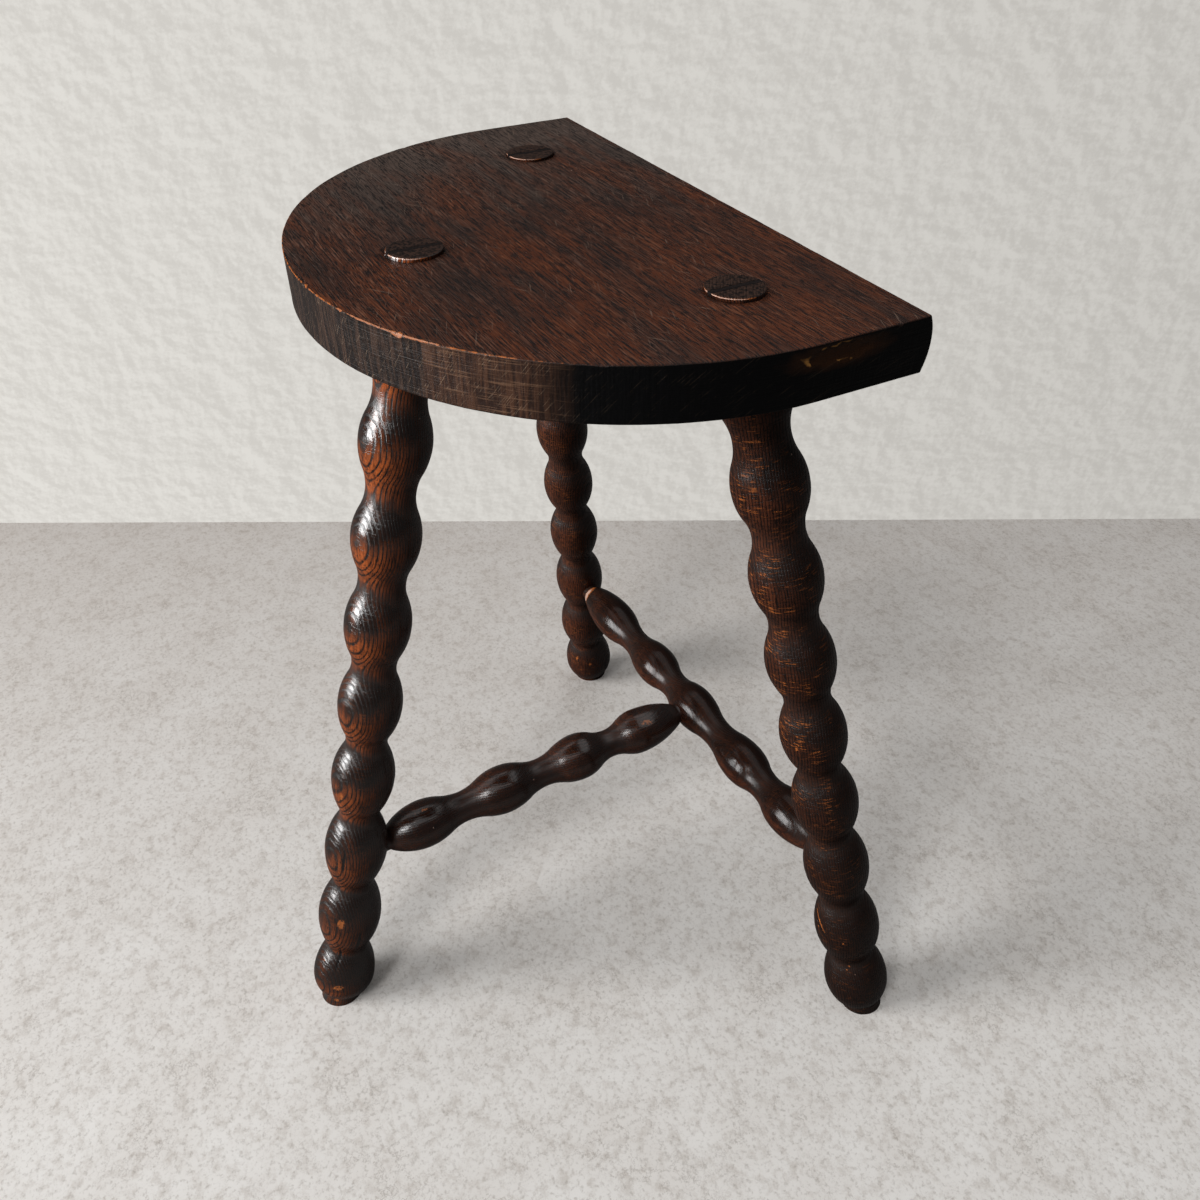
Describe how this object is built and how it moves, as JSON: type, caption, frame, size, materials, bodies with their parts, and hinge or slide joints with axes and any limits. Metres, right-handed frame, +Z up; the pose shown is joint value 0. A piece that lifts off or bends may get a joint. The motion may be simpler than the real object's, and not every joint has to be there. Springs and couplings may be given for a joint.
{
  "type": "bobbin stool",
  "caption": "Low wooden stool with a half-moon plank seat on splayed legs turned as strings of bobbins, wedged through the seat and tied by turned stretchers.",
  "frame": {"origin": "on the floor, under the centre of the bounding box", "axes": "+X along the straight edge towards the right leg, +Y from the round front towards the straight edge, +Z up"},
  "size_m": [0.3826, 0.3209, 0.4616],
  "materials": {
    "seat_oak": "dark stained and waxed oak, open grained",
    "leg_oak": "dark stained and waxed oak, worn to brown",
    "wedge_oak": "dark end grain",
    "stretcher_oak": "dark stained oak, rubbed to a shine"
  },
  "bodies": {
    "root": {"seat": "seat_oak", "leg_left": "leg_oak", "leg_right": "leg_oak", "leg_front": "leg_oak", "wedge_left": "wedge_oak", "wedge_right": "wedge_oak", "wedge_front": "wedge_oak", "cross_stretcher": "stretcher_oak", "medial_stretcher": "stretcher_oak"}
  },
  "joints": []
}
